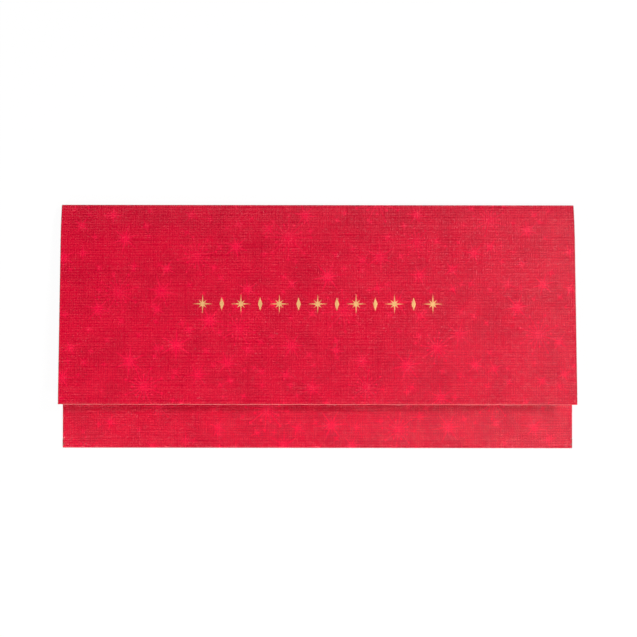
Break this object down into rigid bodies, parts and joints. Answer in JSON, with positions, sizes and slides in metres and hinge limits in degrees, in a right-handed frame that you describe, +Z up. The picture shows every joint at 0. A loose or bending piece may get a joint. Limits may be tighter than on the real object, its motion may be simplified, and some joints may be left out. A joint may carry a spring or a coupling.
{
  "type": "gift card holder",
  "caption": "Folded card holder for a gift card: a front flap opens on a creased spine over a glued pocket with corner slits and a thumb notch.",
  "frame": {"origin": "middle of the closed holder's footprint, on the surface that its back lies on", "axes": "+X along the folds to the right, +Y towards the top fold, +Z up out of the front"},
  "size_m": [0.21, 0.1, 0.011],
  "materials": {
    "printed_card": "satin",
    "glue": "matte",
    "gold_foil": "satin"
  },
  "bodies": {
    "back": {"back_panel": "printed_card", "bottom_fold": "printed_card", "pocket_panel": "printed_card", "pocket_tab_left": "printed_card", "pocket_tab_right": "printed_card", "glue_strip_left": "glue", "glue_strip_right": "glue"},
    "spine": {"top_spine": "printed_card"},
    "flap": {"front_flap": "printed_card", "foil_stars": "gold_foil", "foil_lozenges": "gold_foil"}
  },
  "joints": [
    {"name": "spine_crease", "type": "hinge", "parent": "back", "child": "spine", "pos_m": [0, 0.0498, 0.0002], "axis": [-1, 0, 0], "range_deg": [0, 90], "stiffness_Nm_per_rad": 0.02},
    {"name": "flap_crease", "type": "hinge", "parent": "spine", "child": "flap", "pos_m": [0, 0.0498, 0.0033], "axis": [-1, 0, 0], "range_deg": [-6, 75], "stiffness_Nm_per_rad": 0.02, "springref_deg": 6.47}
  ]
}
